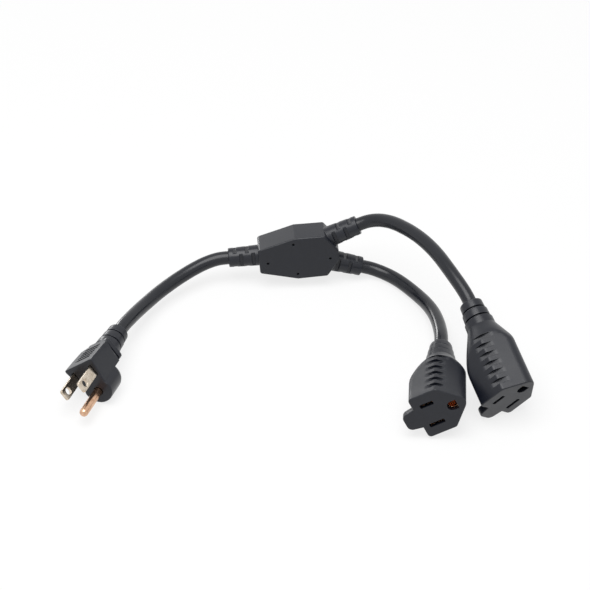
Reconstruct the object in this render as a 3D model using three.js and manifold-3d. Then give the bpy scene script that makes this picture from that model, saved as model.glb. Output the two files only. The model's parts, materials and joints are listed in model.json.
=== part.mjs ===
// Power cord splitter: one grounded plug, a junction block and two receptacles, joined by
// three round cords. Millimetres, Z up. The origin is on the surface that it lies on, below
// the middle of the four mouldings.

import * as THREE from "three";
import { mergeVertices } from "three/addons/utils/BufferGeometryUtils.js";
import Module from "manifold-3d";

const wasm = await Module();
wasm.setup();

// Clearance between two pieces that touch
const clearance = 0.3;

// Pin and slot pattern shared by the plug and the receptacles
const bladePitch = 12.7;
const groundOffset = 11.9;

// Plug contacts
const bladeWidth = 6.35;
const bladeThickness = 1.5;
const bladeExposed = 16.5;
const bladeHoleDiameter = 3.9;
const bladeHoleFromFace = 12;
const bladeTipChamfer = 1;
const bladeEdgeChamfer = 0.25;
const bladeTailWidth = 4.2;
const groundPinDiameter = 4.8;
const groundPinExposed = 21.5;
const crimpDiameter = 2.8;
const crimpLength = 4;
const pinCrimpLength = 2;

// Cords and their insulated cores
const cordDiameter = 7.6;
const cordSides = 10;
const cordSteps = 18;
const coreDiameter = 2.6;
const coreSides = 8;
const coreSteps = 7;
const coreStraight = 0.6;
const coreSpacing = coreDiameter + 1.5 * clearance;
const bundleRadius = coreSpacing / Math.sqrt(3);
const boreDiameter = 2 * bundleRadius + coreDiameter + 2 * clearance;
const boreSides = 12;

// Plug housing: a flat side, two tapering sides and a round lobe under the ground pin
const plugFlatSide = 6.7;
const plugMarginAtFace = 4.05;
const plugMarginAtLobe = 1.25;
const plugMarginAtRear = 3.25;
const plugHalfWidth = bladePitch / 2 + plugMarginAtFace;
const plugHalfWidthAtLobe = bladePitch / 2 + plugMarginAtLobe;
const plugLobeStart = 8.7;
const plugLobeRadius = 8.4;
const plugLobeCentre = 10.9;
const plugLobeLength = 16.5;
const plugBodyLength = 19.5;
const plugRearHalfWidth = bladePitch / 2 + plugMarginAtRear;
const plugRearFlatSide = 5;
const plugShoulderLength = 1.8;
const plugNeckHalfWidth = 6.6;
const plugNeckDepth = 11.4;
const plugFlangeStart = 22;
const plugFlangeThickness = 3.2;
const plugFlangeDepth = 13.4;
const plugFlangeHalfWidth = 7.6;
const plugFlangeRadius = 1.6;
const plugCordAxis = 2.2;
const plugLength = 42.6;
const plugFaceWall = 2.5;
const plugSideWall = 1.1;
const plugChamberDepth = 18;
const plugBridgeThickness = 3.6;
const plugGripCount = 5;
const plugGripPitch = 2.9;
const plugGripFirst = 6.4;
const plugGripLength = 11;
const plugGripWidth = 1.7;
const plugGripDepth = 0.9;
const plugEdgeRadius = 0.6;

// Receptacle housing: five-sided with a rounded nose over the ground opening
const faceFlatSide = 8;
const faceMargin = 6.75;
const faceHalfWidth = bladePitch / 2 + faceMargin;
const faceRidge = 8.3;
const faceNosePoint = 21.5;
const faceCornerRadius = 2;
const faceRidgeRadius = 2.4;
const faceNoseRadius = 5;
const faceEdgeRadius = 0.7;
const receptacleBodyLength = 44;
const receptacleDomeStart = 10;
const receptacleDomeRadius = 18.8;
const domeOnset = 1.4;
const domeRounding = 1.2;
const domeSteps = 7;
const receptacleCordAxis = 4.8;
const receptacleReliefLength = 16;
const receptacleReliefRadius = 8.2;
const receptacleReliefEndRadius = 6.5;
const reliefGrooveWidth = 1;
const reliefGrooveDepth = 2;
const tabReach = 7.6;
const tabThickness = 4.5;
const tabRootHalfWidth = 6;
const tabTipHalfWidth = 4.6;
const tabTipRadius = 3;
const gripCount = 6;
const gripPitch = 5.6;
const gripFirst = 5.5;
const gripLength = 10.5;
const gripWidth = 2.8;
const gripDepth = 2;

// Receptacle openings and what lies behind them
const lineSlotLength = 7.6;
const neutralSlotLength = 8.8;
const slotWidth = 2.3;
const groundOpening = 5.6;
const faceWall = 2.6;
const receptacleSideWall = 2.6;
const carrierDepth = 19;
const carrierPocketLength = 9.4;
const carrierPocketWidth = 4.8;
const carrierGroundPocket = 7.2;
const contactStrip = 0.7;
const contactLength = 12.5;
const groundContactWall = 0.6;
const leadChamberRadius = 9.7;
const leadChamberDepth = 38;

// Junction block: six-sided, with one strain relief for the input and two for the outputs
const blockThickness = 17.4;
const blockEdgeRadius = 0.9;
const blockInputEnd = 22.5;
const blockInputHalfWidth = 7.3;
const blockShoulder = 1.5;
const blockHalfWidth = 13.1;
const blockOutputShoulder = 15.3;
const blockOutputHalfWidth = 12.8;
const blockOutputEnd = 22.5;
const blockForkHalfWidth = 3.2;
const blockCornerRadius = 1.4;
const outputAngle = THREE.MathUtils.degToRad(19.5);
const outputAxisX = 20.5;
const outputAxisY = 8.5;
const blockReliefLength = 17;
const blockOutputReliefLength = 15;
const blockReliefRadius = 6;
const blockReliefEndRadius = 5.3;
const blockReliefFloor = 4.2;
const blockReliefNotch = 2;
const blockReliefNotchPitch = 3.45;
const blockReliefNotchFirst = 3.7;
const blockReliefNotchCount = 4;
const corePinDiameter = 1.5;
const corePinPlaces = [[-17.6, -1.2], [-2.6, 9.4], [17.4, -1.6], [-1.4, -9.6]];

// Inside the junction block
const rackLength = 14;
const rackHalfWidth = 7.4;
const rackWall = 0.9;
const rackShelf = 0.6;
const rackSlotHeight = coreDiameter + 2 * clearance;
const rackPitch = rackSlotHeight + rackShelf;
const rackHeight = 3 * rackSlotHeight + 4 * rackShelf;
const chamberInputReach = 14.5;
const outputGather = 14;
const chamberOutputReach = 15.6;
const chamberOutputHalfWidth = 9.9;
const spliceLength = 9;
const spliceWidth = 2 * coreDiameter + 2 * clearance;

// Places of the mouldings: x, y and the turns about Z, Y and X in degrees
const plugPlace = { x: -112.6, y: -43.3, turns: [-22, 51, 87] };
const nearReceptaclePlace = { x: 70.8, y: -74.4, turns: [0.3, -28, -97] };
const farReceptaclePlace = { x: 110.4, y: -60.6, turns: [-2, -46.5, -60] };
const junctionPlace = { x: 1.1, y: 64.9, z: 18.2, turns: [3.5, -4, 83] };

// Courses of the cords' centre lines, from the junction block to each moulding
const inputCordCourse = [
  [-38.5, 62.5, 15.4], [-40.5, 62.4, 15.3], [-44.4, 61.9, 14.9], [-50.1, 59.9, 14.1], [-56.8, 56.1, 12.9],
  [-63.8, 50.8, 11.6], [-70.7, 44.2, 10.6], [-77.1, 36.6, 10.1], [-82.7, 27.9, 10.4], [-87.4, 18.9, 11.6],
  [-91.3, 10.2, 13], [-94.3, 3.3, 13.9], [-96.2, -1.6, 14.2], [-96.9, -3.4, 14.3],
];
const nearCordCourse = [
  [36.9, 65.4, 7.2], [38.8, 65.4, 6.7], [42.1, 65.2, 5.9], [46.6, 64, 4.9], [51, 61.7, 4.3],
  [55.7, 57.9, 4.1], [60.3, 52.8, 4.1], [64.8, 46.9, 4.1], [68.9, 40.4, 4.5], [72.4, 33.2, 5.5],
  [75.4, 24.7, 6.8], [77.4, 15.1, 8.4], [78.5, 5.5, 9.9], [78.8, -4.5, 11.4], [78.3, -12.5, 11.9],
  [78.2, -14.5, 12.1],
];
const farCordCourse = [
  [34.8, 68.6, 34.1], [36.7, 68.8, 34.9], [40.6, 68.6, 36.5], [45.2, 67, 38.3], [49.8, 64, 40],
  [54.5, 59.6, 41.6], [59.5, 53.7, 43], [64.4, 47.1, 44.2], [69.2, 39.8, 45], [73.8, 32.1, 45.2],
  [78, 24.1, 44.9], [82, 15.8, 44], [85.7, 8.5, 42.6], [88.9, 2.5, 41], [91.6, -2.8, 39.2],
  [93, -6, 37.9], [93.7, -7.8, 37.2],
];

const mouldedBlack = { color: 0x2b2c31, roughness: 0.52, metalness: 0 };
const cordBlack = { color: 0x232427, roughness: 0.45, metalness: 0 };
const insertNatural = { color: 0xc9c4b4, roughness: 0.6, metalness: 0 };
const nickel = { color: 0xbfb9a8, roughness: 0.28, metalness: 1 };
const brass = { color: 0xc39a58, roughness: 0.3, metalness: 1 };
const coreColours = {
  line: { color: 0x1f2022, roughness: 0.5, metalness: 0 },
  neutral: { color: 0xe6e4dc, roughness: 0.5, metalness: 0 },
  ground: { color: 0x2f7d45, roughness: 0.5, metalness: 0 },
};
const circuits = ["line", "neutral", "ground"];

// Solids from three.js geometries, and back

function solidOf(geometry) {
  const plain = geometry.index ? geometry.toNonIndexed() : geometry.clone();
  plain.deleteAttribute("normal");
  plain.deleteAttribute("uv");
  const merged = mergeVertices(plain, 1e-4);
  return new wasm.Manifold(new wasm.Mesh({
    numProp: 3,
    vertProperties: new Float32Array(merged.attributes.position.array),
    triVerts: new Uint32Array(merged.index.array),
  }));
}

function geometryOf(solid) {
  const mesh = solid.getMesh();
  const geometry = new THREE.BufferGeometry();
  geometry.setAttribute("position", new THREE.BufferAttribute(new Float32Array(mesh.vertProperties), 3));
  geometry.setIndex(new THREE.BufferAttribute(new Uint32Array(mesh.triVerts), 1));
  return geometry;
}

function join(first, ...others) {
  return others.reduce((whole, other) => whole.add(other), first);
}

function cut(first, ...others) {
  return others.reduce((whole, other) => whole.subtract(other), first);
}

function part(name, solid, finish) {
  const mesh = new THREE.Mesh(geometryOf(solid), new THREE.MeshStandardMaterial(finish));
  mesh.name = name;
  return mesh;
}

// Basic forms

function box(sizeX, sizeY, sizeZ, x = 0, y = 0, z = 0) {
  const geometry = new THREE.BoxGeometry(sizeX, sizeY, sizeZ);
  geometry.translate(x, y, z);
  return solidOf(geometry);
}

// A body of revolution about the line x = axisX, y = 0, from [radius, z] pairs of rising z
function turned(profile, sides, axisX = 0) {
  const geometry = new THREE.LatheGeometry(profile.map(([r, z]) => new THREE.Vector2(r, z)), sides);
  geometry.rotateX(Math.PI / 2);
  geometry.translate(axisX, 0, 0);
  return solidOf(geometry);
}

function rod(radius, z0, z1, sides, x = 0, y = 0) {
  const geometry = new THREE.CylinderGeometry(radius, radius, z1 - z0, sides);
  geometry.rotateX(Math.PI / 2);
  geometry.translate(x, y, (z0 + z1) / 2);
  return solidOf(geometry);
}

// A closed outline through [x, y, radius] corners, each rounded by an arc of its radius
function outline(corners) {
  const shape = new THREE.Shape();
  corners.forEach(([x, y, radius = 0], i) => {
    const corner = new THREE.Vector2(x, y);
    const before = corners[(i + corners.length - 1) % corners.length];
    const after = corners[(i + 1) % corners.length];
    const back = new THREE.Vector2(before[0], before[1]).sub(corner).normalize();
    const ahead = new THREE.Vector2(after[0], after[1]).sub(corner).normalize();
    const half = Math.acos(THREE.MathUtils.clamp(back.dot(ahead), -1, 1)) / 2;
    const run = radius / Math.tan(half);
    const start = corner.clone().addScaledVector(back, run);
    const end = corner.clone().addScaledVector(ahead, run);
    if (i === 0) shape.moveTo(start.x, start.y);
    else shape.lineTo(start.x, start.y);
    if (radius > 0) {
      const centre = corner.clone().addScaledVector(back.clone().add(ahead).normalize(), radius / Math.sin(half));
      const from = Math.atan2(start.y - centre.y, start.x - centre.x);
      const to = Math.atan2(end.y - centre.y, end.x - centre.x);
      shape.absarc(centre.x, centre.y, radius, from, to, back.cross(ahead) > 0);
    }
  });
  shape.closePath();
  return shape;
}

// An outline carried straight along Z, with its two rims rounded by the edge radius
function prism(shape, z0, z1, edgeRadius = 0, curveSegments = 6) {
  const geometry = new THREE.ExtrudeGeometry(shape, {
    depth: z1 - z0 - 2 * edgeRadius,
    bevelEnabled: edgeRadius > 0,
    bevelThickness: edgeRadius,
    bevelSize: edgeRadius,
    bevelOffset: -edgeRadius,
    bevelSegments: 2,
    curveSegments,
  });
  geometry.translate(0, 0, z0 + edgeRadius);
  return solidOf(geometry);
}

// A round tube along a smooth curve through the points
function tube(points, diameter, sides, steps) {
  const curve = new THREE.CatmullRomCurve3(points.map(([x, y, z]) => new THREE.Vector3(x, y, z)), false, "centripetal");
  const section = new THREE.Shape();
  for (let i = 0; i < sides; i += 1) {
    const angle = (2 * Math.PI * i) / sides;
    const x = (diameter / 2) * Math.cos(angle);
    const y = (diameter / 2) * Math.sin(angle);
    if (i === 0) section.moveTo(x, y);
    else section.lineTo(x, y);
  }
  section.closePath();
  return solidOf(new THREE.ExtrudeGeometry(section, { steps, bevelEnabled: false, extrudePath: curve }));
}

// Where a circuit's core lies across the bundle, for spread 0 (stacked in levels) to 1 (in the bore)
function bundlePlace(circuit, spread, level) {
  const stackedMiddle = -level / 2;
  const boreMiddle = -bundleRadius / 2;
  const middle = THREE.MathUtils.lerp(stackedMiddle, boreMiddle, spread);
  const reach = THREE.MathUtils.lerp(level, coreSpacing, spread) / 2;
  const angle = (Math.PI / 2) * spread;
  if (circuit === "line") return [0, THREE.MathUtils.lerp(level, bundleRadius, spread)];
  const side = circuit === "ground" ? 1 : -1;
  return [side * reach * Math.sin(angle), middle + side * reach * Math.cos(angle)];
}

// Places a moulding's pieces together
function assembled(place, pieces) {
  const group = new THREE.Group();
  group.add(...pieces);
  const [aboutZ, aboutY, aboutX] = place.turns.map(THREE.MathUtils.degToRad);
  group.rotation.set(aboutX, aboutY, aboutZ, "ZYX");
  group.position.set(place.x, place.y, place.z ?? 0);
  return group;
}

// Lowers or lifts a moulding until its lowest point is on the surface
function standing(group) {
  group.updateMatrixWorld(true);
  const lowest = new THREE.Box3().setFromObject(group, true).min.z;
  group.position.z -= lowest;
  return group;
}

// Plug, with X toward the ground pin, Y across the blades and Z out along them

function plugOutline(inset) {
  const lobe = plugLobeRadius - inset;
  const half = plugHalfWidth - inset;
  const shape = outline([
    [-plugFlatSide + inset, -half, 1.2],
    [plugLobeStart, -(plugHalfWidthAtLobe - inset)],
    [plugLobeCentre, -lobe],
    [plugLobeCentre + lobe, -lobe, lobe * 0.96],
    [plugLobeCentre + lobe, lobe, lobe * 0.96],
    [plugLobeCentre, lobe],
    [plugLobeStart, plugHalfWidthAtLobe - inset],
    [-plugFlatSide + inset, half, 1.2],
  ]);
  return shape;
}

// The lobe ends in a rounded shoulder, and the body goes on behind it with straight sides
function lobeAndBody(inset) {
  const radius = plugLobeRadius - inset;
  const lobe = turned([
    [0, inset - plugLobeLength],
    [radius - 4.2, inset - plugLobeLength],
    [radius - 1, inset - plugLobeLength + 1.4],
    [radius + 0.6, inset - plugLobeLength + 4],
    [radius + 0.6, 1],
    [0, 1],
  ], 24, plugLobeCentre);
  const edge = plugLobeStart - inset;
  const body = box(4 * plugFlatSide, 4 * plugHalfWidth, 4 * plugBodyLength, edge - 2 * plugFlatSide, 0, 0);
  return join(lobe, body);
}

function plugHousing() {
  const rear = -plugBodyLength;
  const face = prism(plugOutline(0), rear - plugShoulderLength, 0, plugEdgeRadius, 5);

  const front = face.intersect(lobeAndBody(0));

  // Seen across the blades the body narrows a little and ends in two sloped shoulders
  const across = new THREE.ExtrudeGeometry(outline([
    [2, -plugHalfWidth],
    [rear, -plugRearHalfWidth],
    [rear - plugShoulderLength, -plugNeckHalfWidth],
    [rear - plugShoulderLength, plugNeckHalfWidth],
    [rear, plugRearHalfWidth],
    [2, plugHalfWidth],
  ]), { depth: 60, bevelEnabled: false });
  across.translate(0, 0, -30);
  across.rotateY(-Math.PI / 2);

  // Seen from the side the flat side leans toward the cord
  const along = new THREE.ExtrudeGeometry(outline([
    [-plugFlatSide, 2],
    [plugLobeCentre + plugLobeRadius, 2],
    [plugLobeCentre + plugLobeRadius, rear - plugShoulderLength],
    [-plugRearFlatSide, rear - plugShoulderLength],
  ]), { depth: 60, bevelEnabled: false });
  along.translate(0, 0, -30);
  along.rotateX(Math.PI / 2);
  const body = front.intersect(solidOf(across)).intersect(solidOf(along));

  const neckMiddle = plugCordAxis;
  const neck = box(plugNeckDepth, 2 * plugNeckHalfWidth - 1, plugFlangeStart - plugBodyLength + 1.4,
    neckMiddle, 0, -(plugFlangeStart + plugBodyLength) / 2);
  const flangeEdge = plugFlangeDepth / 2;
  const flange = prism(outline([
    [neckMiddle - flangeEdge, -plugFlangeHalfWidth, plugFlangeRadius],
    [neckMiddle + flangeEdge, -plugFlangeHalfWidth, plugFlangeRadius],
    [neckMiddle + flangeEdge, plugFlangeHalfWidth, plugFlangeRadius],
    [neckMiddle - flangeEdge, plugFlangeHalfWidth, plugFlangeRadius],
  ]), -plugFlangeStart - plugFlangeThickness, -plugFlangeStart, 0.4, 3);
  const flangeRear = plugFlangeStart + plugFlangeThickness;
  const relief = turned(reliefProfile(flangeRear, plugLength, 6.9, 5.9).map(([r, z]) => [r, -z]).reverse(),
    20, plugCordAxis);

  const openings = [
    ...[-1, 1].map((side) => box(bladeWidth + 2 * clearance, bladeThickness + 2 * clearance, 12,
      0, (side * bladePitch) / 2, 0)),
    rod(groundPinDiameter / 2 + clearance, -6, 6, 16, groundOffset),
  ];
  const chamber = prism(plugOutline(plugSideWall), -plugChamberDepth, -plugFaceWall, 0, 3)
    .intersect(lobeAndBody(plugSideWall))
    .intersect(box(60, 60, 60, 30 - plugRearFlatSide + plugSideWall));
  const bore = turned([
    [0, -plugLength - 1],
    [boreDiameter / 2, -plugLength - 1],
    [boreDiameter / 2, -plugFlangeStart],
    [plugNeckHalfWidth - 1.2, -plugChamberDepth],
    [plugNeckHalfWidth - 1.2, -plugChamberDepth + 0.5],
    [0, -plugChamberDepth + 0.5],
  ], boreSides, plugCordAxis);
  const grips = [];
  for (let i = 0; i < plugGripCount; i += 1) {
    const z = -(plugGripFirst + i * plugGripPitch);
    const lean = (plugFlatSide - plugRearFlatSide) / (plugBodyLength + plugShoulderLength + 2);
    const surface = -plugFlatSide - lean * (z - 2);
    grips.push(box(2 * plugGripDepth, plugGripLength, plugGripWidth, surface, 0, z));
  }
  const shell = join(body, neck, flange, relief);
  return part("plug_housing", cut(shell, ...openings, chamber, bore, ...grips), mouldedBlack);
}

// Three stepped collars with narrow grooves between them, as [radius, z] pairs of rising z
function reliefProfile(start, end, firstRadius, lastRadius) {
  const collars = 3;
  const length = (end - start - (collars - 1) * reliefGrooveWidth) / collars;
  const profile = [[0, start - 1]];
  for (let i = 0; i < collars; i += 1) {
    const radius = THREE.MathUtils.lerp(firstRadius, lastRadius, i / (collars - 1));
    const z0 = start + i * (length + reliefGrooveWidth);
    const z1 = z0 + length;
    const chamfer = i === collars - 1 ? 1 : 0.4;
    const groove = radius - reliefGrooveDepth;
    profile.push([radius, i === 0 ? start - 1 : z0], [radius - 0.2, z1 - chamfer]);
    profile.push([radius - 0.2 - chamfer, z1]);
    if (i < collars - 1) profile.push([groove, z1], [groove, z1 + reliefGrooveWidth]);
  }
  profile.push([0, end]);
  return profile;
}

function plugBlade(name, side, finish) {
  const half = bladeWidth / 2;
  const shoulder = -plugFaceWall - clearance;
  const tail = bladeTailWidth / 2;
  const crimpStart = -(plugFaceWall + plugBridgeThickness + 3 * clearance);
  const shape = outline([
    [-half, shoulder],
    [-tail, shoulder],
    [-tail, crimpStart - 1],
    [tail, crimpStart - 1],
    [tail, shoulder],
    [half, shoulder],
    [half, bladeExposed - bladeTipChamfer],
    [half - bladeTipChamfer, bladeExposed],
    [-half + bladeTipChamfer, bladeExposed],
    [-half, bladeExposed - bladeTipChamfer],
  ]);
  const hole = new THREE.Path();
  hole.absarc(0, bladeHoleFromFace, bladeHoleDiameter / 2, 0, 2 * Math.PI, true);
  shape.holes.push(hole);
  const geometry = new THREE.ExtrudeGeometry(shape, {
    depth: bladeThickness - 2 * bladeEdgeChamfer,
    bevelEnabled: true,
    bevelThickness: bladeEdgeChamfer,
    bevelSize: bladeEdgeChamfer,
    bevelOffset: -bladeEdgeChamfer,
    bevelSegments: 1,
    curveSegments: 8,
  });
  geometry.translate(0, 0, bladeEdgeChamfer - bladeThickness / 2);
  geometry.rotateX(Math.PI / 2);
  geometry.translate(0, (side * bladePitch) / 2, 0);
  const crimp = rod(crimpDiameter / 2, crimpStart - crimpLength, crimpStart, 12, 0, (side * bladePitch) / 2);
  return part(name, join(solidOf(geometry), crimp), finish);
}

function groundPin() {
  const r = groundPinDiameter / 2;
  const crimpStart = -(plugFaceWall + plugBridgeThickness + 3 * clearance);
  const dome = [0, 30, 60, 90].map((degrees) => {
    const angle = THREE.MathUtils.degToRad(degrees);
    return [r * Math.cos(angle), groundPinExposed - r + r * Math.sin(angle)];
  });
  dome[dome.length - 1][0] = 0;
  const pin = turned([[0, crimpStart], [r, crimpStart], ...dome], 20, groundOffset);
  const crimp = rod(crimpDiameter / 2, crimpStart - pinCrimpLength, crimpStart + 1, 12, groundOffset);
  return part("ground_pin", join(pin, crimp), brass);
}

function plugBridge() {
  const gap = plugSideWall + clearance;
  const z1 = -plugFaceWall - clearance;
  const z0 = z1 - plugBridgeThickness;
  const plate = prism(plugOutline(gap), z0, z1, 0, 3)
    .intersect(box(60, 60, 60, 30 - plugRearFlatSide + gap));
  const passages = [
    ...[-1, 1].map((side) => box(bladeTailWidth + 2 * clearance, bladeThickness + 2 * clearance, 40,
      0, (side * bladePitch) / 2, 0)),
    rod(groundPinDiameter / 2 + clearance, -20, 6, 12, groundOffset),
  ];
  return part("plug_bridge", cut(plate, ...passages), insertNatural);
}

// Places of the three circuits on a connector, as [x, y]
function circuitPlace(circuit) {
  if (circuit === "ground") return [groundOffset, 0];
  return [0, ((circuit === "line" ? -1 : 1) * bladePitch) / 2];
}

// A core from a crimp at zStart, straight to zLeave, then bent over to the bore at zBore and on
// to the mouth at zMouth; the bend is given as shares of the way sideways and along
function connectorCore(name, circuit, cordAxis, zStart, zLeave, zBore, zMouth, bend = [[0.45, 0.36], [0.88, 0.7]]) {
  const [x, y] = circuitPlace(circuit);
  const boreX = circuit === "ground" ? cordAxis + bundleRadius : cordAxis - bundleRadius / 2;
  const boreY = circuit === "ground" ? 0 : (Math.sign(y) * coreSpacing) / 2;
  const points = [
    [x, y, zStart],
    [x, y, zLeave],
    ...bend.map(([sideways, along]) => [
      THREE.MathUtils.lerp(x, boreX, sideways),
      THREE.MathUtils.lerp(y, boreY, sideways),
      THREE.MathUtils.lerp(zLeave, zBore, along),
    ]),
    [boreX, boreY, zBore],
    [boreX, boreY, (zBore + zMouth) / 2],
    [boreX, boreY, zMouth],
  ];
  return part(name, tube(points, coreDiameter, coreSides, coreSteps), coreColours[circuit]);
}

function plug() {
  const crimpStart = -(plugFaceWall + plugBridgeThickness + 3 * clearance);
  const pieces = [
    plugHousing(),
    plugBridge(),
    plugBlade("line_blade", -1, nickel),
    plugBlade("neutral_blade", 1, nickel),
    groundPin(),
  ];
  for (const circuit of circuits) {
    const ground = circuit === "ground";
    const start = crimpStart - (ground ? pinCrimpLength : crimpLength) - clearance;
    const bend = ground ? [[0.45, 0.19], [0.84, 0.46]] : [[0.45, 0.34], [0.88, 0.68]];
    pieces.push(connectorCore(`plug_${circuit}_core`, circuit, plugCordAxis,
      start, start - coreStraight, -plugFlangeStart - 1, -plugLength, bend));
  }
  return standing(assembled(plugPlace, pieces));
}

// Receptacle, with X toward the ground opening, Y across the slots and Z from the face to the cord

function faceOutline(inset) {
  const tight = Math.max(faceCornerRadius - inset, 0.4);
  return outline([
    [-faceFlatSide + inset, -faceHalfWidth + inset, tight],
    [faceRidge - 0.4 * inset, -faceHalfWidth + inset, Math.max(faceRidgeRadius - inset, 0.4)],
    [faceNosePoint - 1.4 * inset, 0, faceNoseRadius - inset],
    [faceRidge - 0.4 * inset, faceHalfWidth - inset, Math.max(faceRidgeRadius - inset, 0.4)],
    [-faceFlatSide + inset, faceHalfWidth - inset, tight],
  ]);
}

function groundArch(size, depth) {
  const half = size / 2;
  const shape = new THREE.Shape();
  shape.moveTo(half, -half);
  shape.lineTo(half, half);
  shape.lineTo(0, half);
  shape.absarc(0, 0, half, Math.PI / 2, (3 * Math.PI) / 2, false);
  shape.closePath();
  const geometry = new THREE.ExtrudeGeometry(shape, { depth, bevelEnabled: false, curveSegments: 8 });
  geometry.translate(groundOffset, 0, -depth / 2);
  return solidOf(geometry);
}

// Radius of the rounded rear about the cord's axis, from the start of the dome to the relief
function domeRadius(z) {
  const domeLength = receptacleBodyLength - receptacleDomeStart;
  const along = THREE.MathUtils.clamp((z - receptacleDomeStart) / domeLength, 0, 1);
  const share = (1 - along ** domeOnset) ** domeRounding;
  return receptacleReliefRadius + (receptacleDomeRadius - receptacleReliefRadius) * share;
}

function receptacleHousing(name) {
  const end = receptacleBodyLength + receptacleReliefLength;
  const dome = [[0, -1], [receptacleDomeRadius, -1]];
  for (let i = 0; i <= domeSteps; i += 1) {
    const z = THREE.MathUtils.lerp(receptacleDomeStart, receptacleBodyLength, i / domeSteps);
    dome.push([domeRadius(z), z]);
  }
  dome.push([0, receptacleBodyLength]);
  const body = prism(faceOutline(0), 0, receptacleBodyLength + 4, faceEdgeRadius)
    .intersect(turned(dome, 28, receptacleCordAxis));
  const tab = prism(outline([
    [-faceFlatSide + 2, -tabRootHalfWidth],
    [-faceFlatSide + 2, tabRootHalfWidth],
    [-faceFlatSide, tabRootHalfWidth],
    [-faceFlatSide - tabReach, tabTipHalfWidth, tabTipRadius],
    [-faceFlatSide - tabReach, -tabTipHalfWidth, tabTipRadius],
    [-faceFlatSide, -tabRootHalfWidth],
  ].reverse()), 0, tabThickness, faceEdgeRadius);
  const relief = turned(
    reliefProfile(receptacleBodyLength, end, receptacleReliefRadius, receptacleReliefEndRadius),
    20, receptacleCordAxis);

  const openings = [
    box(lineSlotLength, slotWidth, 12, 0, -bladePitch / 2, 0),
    box(neutralSlotLength, slotWidth, 12, 0, bladePitch / 2, 0),
    groundArch(groundOpening, 12),
  ];
  const carrierEnd = faceWall + carrierDepth + 2 * clearance;
  const chamber = prism(faceOutline(receptacleSideWall), faceWall, carrierEnd, 0, 3);
  const leads = turned([
    [0, carrierEnd - 1],
    [leadChamberRadius, carrierEnd - 1],
    [leadChamberRadius, carrierEnd + 1.5],
    [boreDiameter / 2, leadChamberDepth],
    [boreDiameter / 2, end + 1],
    [0, end + 1],
  ], boreSides, receptacleCordAxis);
  const grips = [];
  const taper = Math.atan2(faceNosePoint - faceRidge, faceHalfWidth);
  const facing = (Math.PI / 2 - taper) / 2 + taper;
  const ridgeReach = Math.hypot(faceRidge - receptacleCordAxis, faceHalfWidth);
  for (const side of [-1, 1]) {
    for (let i = 0; i < gripCount; i += 1) {
      const z = gripFirst + i * gripPitch;
      const share = Math.min(1, domeRadius(z) / ridgeReach);
      const notch = new THREE.BoxGeometry(2 * gripDepth, gripLength, gripWidth);
      notch.rotateZ(side * facing);
      notch.translate(
        THREE.MathUtils.lerp(receptacleCordAxis, faceRidge, share), side * faceHalfWidth * share, z);
      grips.push(solidOf(notch));
    }
  }
  return part(name, cut(join(body, tab, relief), ...openings, chamber, leads, ...grips), mouldedBlack);
}

function contactCarrier(name) {
  const z0 = faceWall + clearance;
  const z1 = z0 + carrierDepth;
  const block = prism(faceOutline(receptacleSideWall + clearance), z0, z1, 0, 3);
  const pockets = [
    ...[-1, 1].map((side) => box(carrierPocketLength, carrierPocketWidth, 80, 0, (side * bladePitch) / 2, 0)),
    rod(carrierGroundPocket / 2, 0, 40, 16, groundOffset),
  ];
  return part(name, cut(block, ...pockets), insertNatural);
}

// A folded strip with two leaves that grip a blade, and a crimp barrel behind it
function bladeContact(name, circuit) {
  const [x, y] = circuitPlace(circuit);
  const width = carrierPocketLength - 2 * clearance;
  const depth = carrierPocketWidth - 2 * clearance;
  const front = faceWall + 2 * clearance;
  const back = front + contactLength;
  const strip = box(width, depth, contactLength, x, y, (front + back) / 2);
  const throat = box(width + 2, depth - 2 * contactStrip, contactLength, x, y, (front + back) / 2 - contactStrip);
  const crimpEnd = back + crimpLength;
  const crimp = rod(crimpDiameter / 2, back - 0.3, crimpEnd, 12, x, y);
  return part(name, join(cut(strip, throat), crimp), brass);
}

function groundContact(name) {
  const radius = carrierGroundPocket / 2 - clearance;
  const front = faceWall + 2 * clearance;
  const back = front + contactLength;
  const sleeve = rod(radius, front, back, 16, groundOffset);
  const throat = rod(radius - groundContactWall, front - 1, back - contactStrip, 16, groundOffset);
  const slit = box(2 * radius + 2, 0.8, contactLength - 4, groundOffset, 0, (front + back) / 2 - 3);
  const crimp = rod(crimpDiameter / 2, back - 0.3, back + crimpLength, 12, groundOffset);
  return part(name, join(cut(sleeve, throat, slit), crimp), brass);
}

function receptacle(side, place) {
  const crimpEnd = faceWall + 2 * clearance + contactLength + crimpLength;
  const pieces = [
    receptacleHousing(`${side}_receptacle_housing`),
    contactCarrier(`${side}_contact_carrier`),
    bladeContact(`${side}_line_contact`, "line"),
    bladeContact(`${side}_neutral_contact`, "neutral"),
    groundContact(`${side}_ground_contact`),
  ];
  for (const circuit of circuits) {
    pieces.push(connectorCore(`${side}_${circuit}_core`, circuit, receptacleCordAxis, crimpEnd + clearance,
      faceWall + carrierDepth - clearance, leadChamberDepth, receptacleBodyLength + receptacleReliefLength));
  }
  return standing(assembled(place, pieces));
}

// Junction block, with X from the input to the outputs, Y across and Z through its thickness

// A tapered strain relief along X from x = 0, with notches cut in turn from two sides and from two faces
function flexibleRelief(length) {
  const cone = new THREE.CylinderGeometry(blockReliefEndRadius, blockReliefRadius, length + 4, 20);
  cone.rotateZ(-Math.PI / 2);
  cone.translate(length / 2 - 2, 0, 0);
  const notches = [];
  for (let i = 0; i < blockReliefNotchCount; i += 1) {
    const x = length - blockReliefNotchFirst - i * blockReliefNotchPitch;
    const offset = blockReliefFloor + 3;
    for (const side of [-1, 1]) {
      if (i % 2 === 0) notches.push(box(blockReliefNotch, 6, 20, x, side * offset, 0));
      else notches.push(box(blockReliefNotch, 20, 6, x, 0, side * offset));
    }
  }
  return cut(solidOf(cone), ...notches);
}

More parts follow.
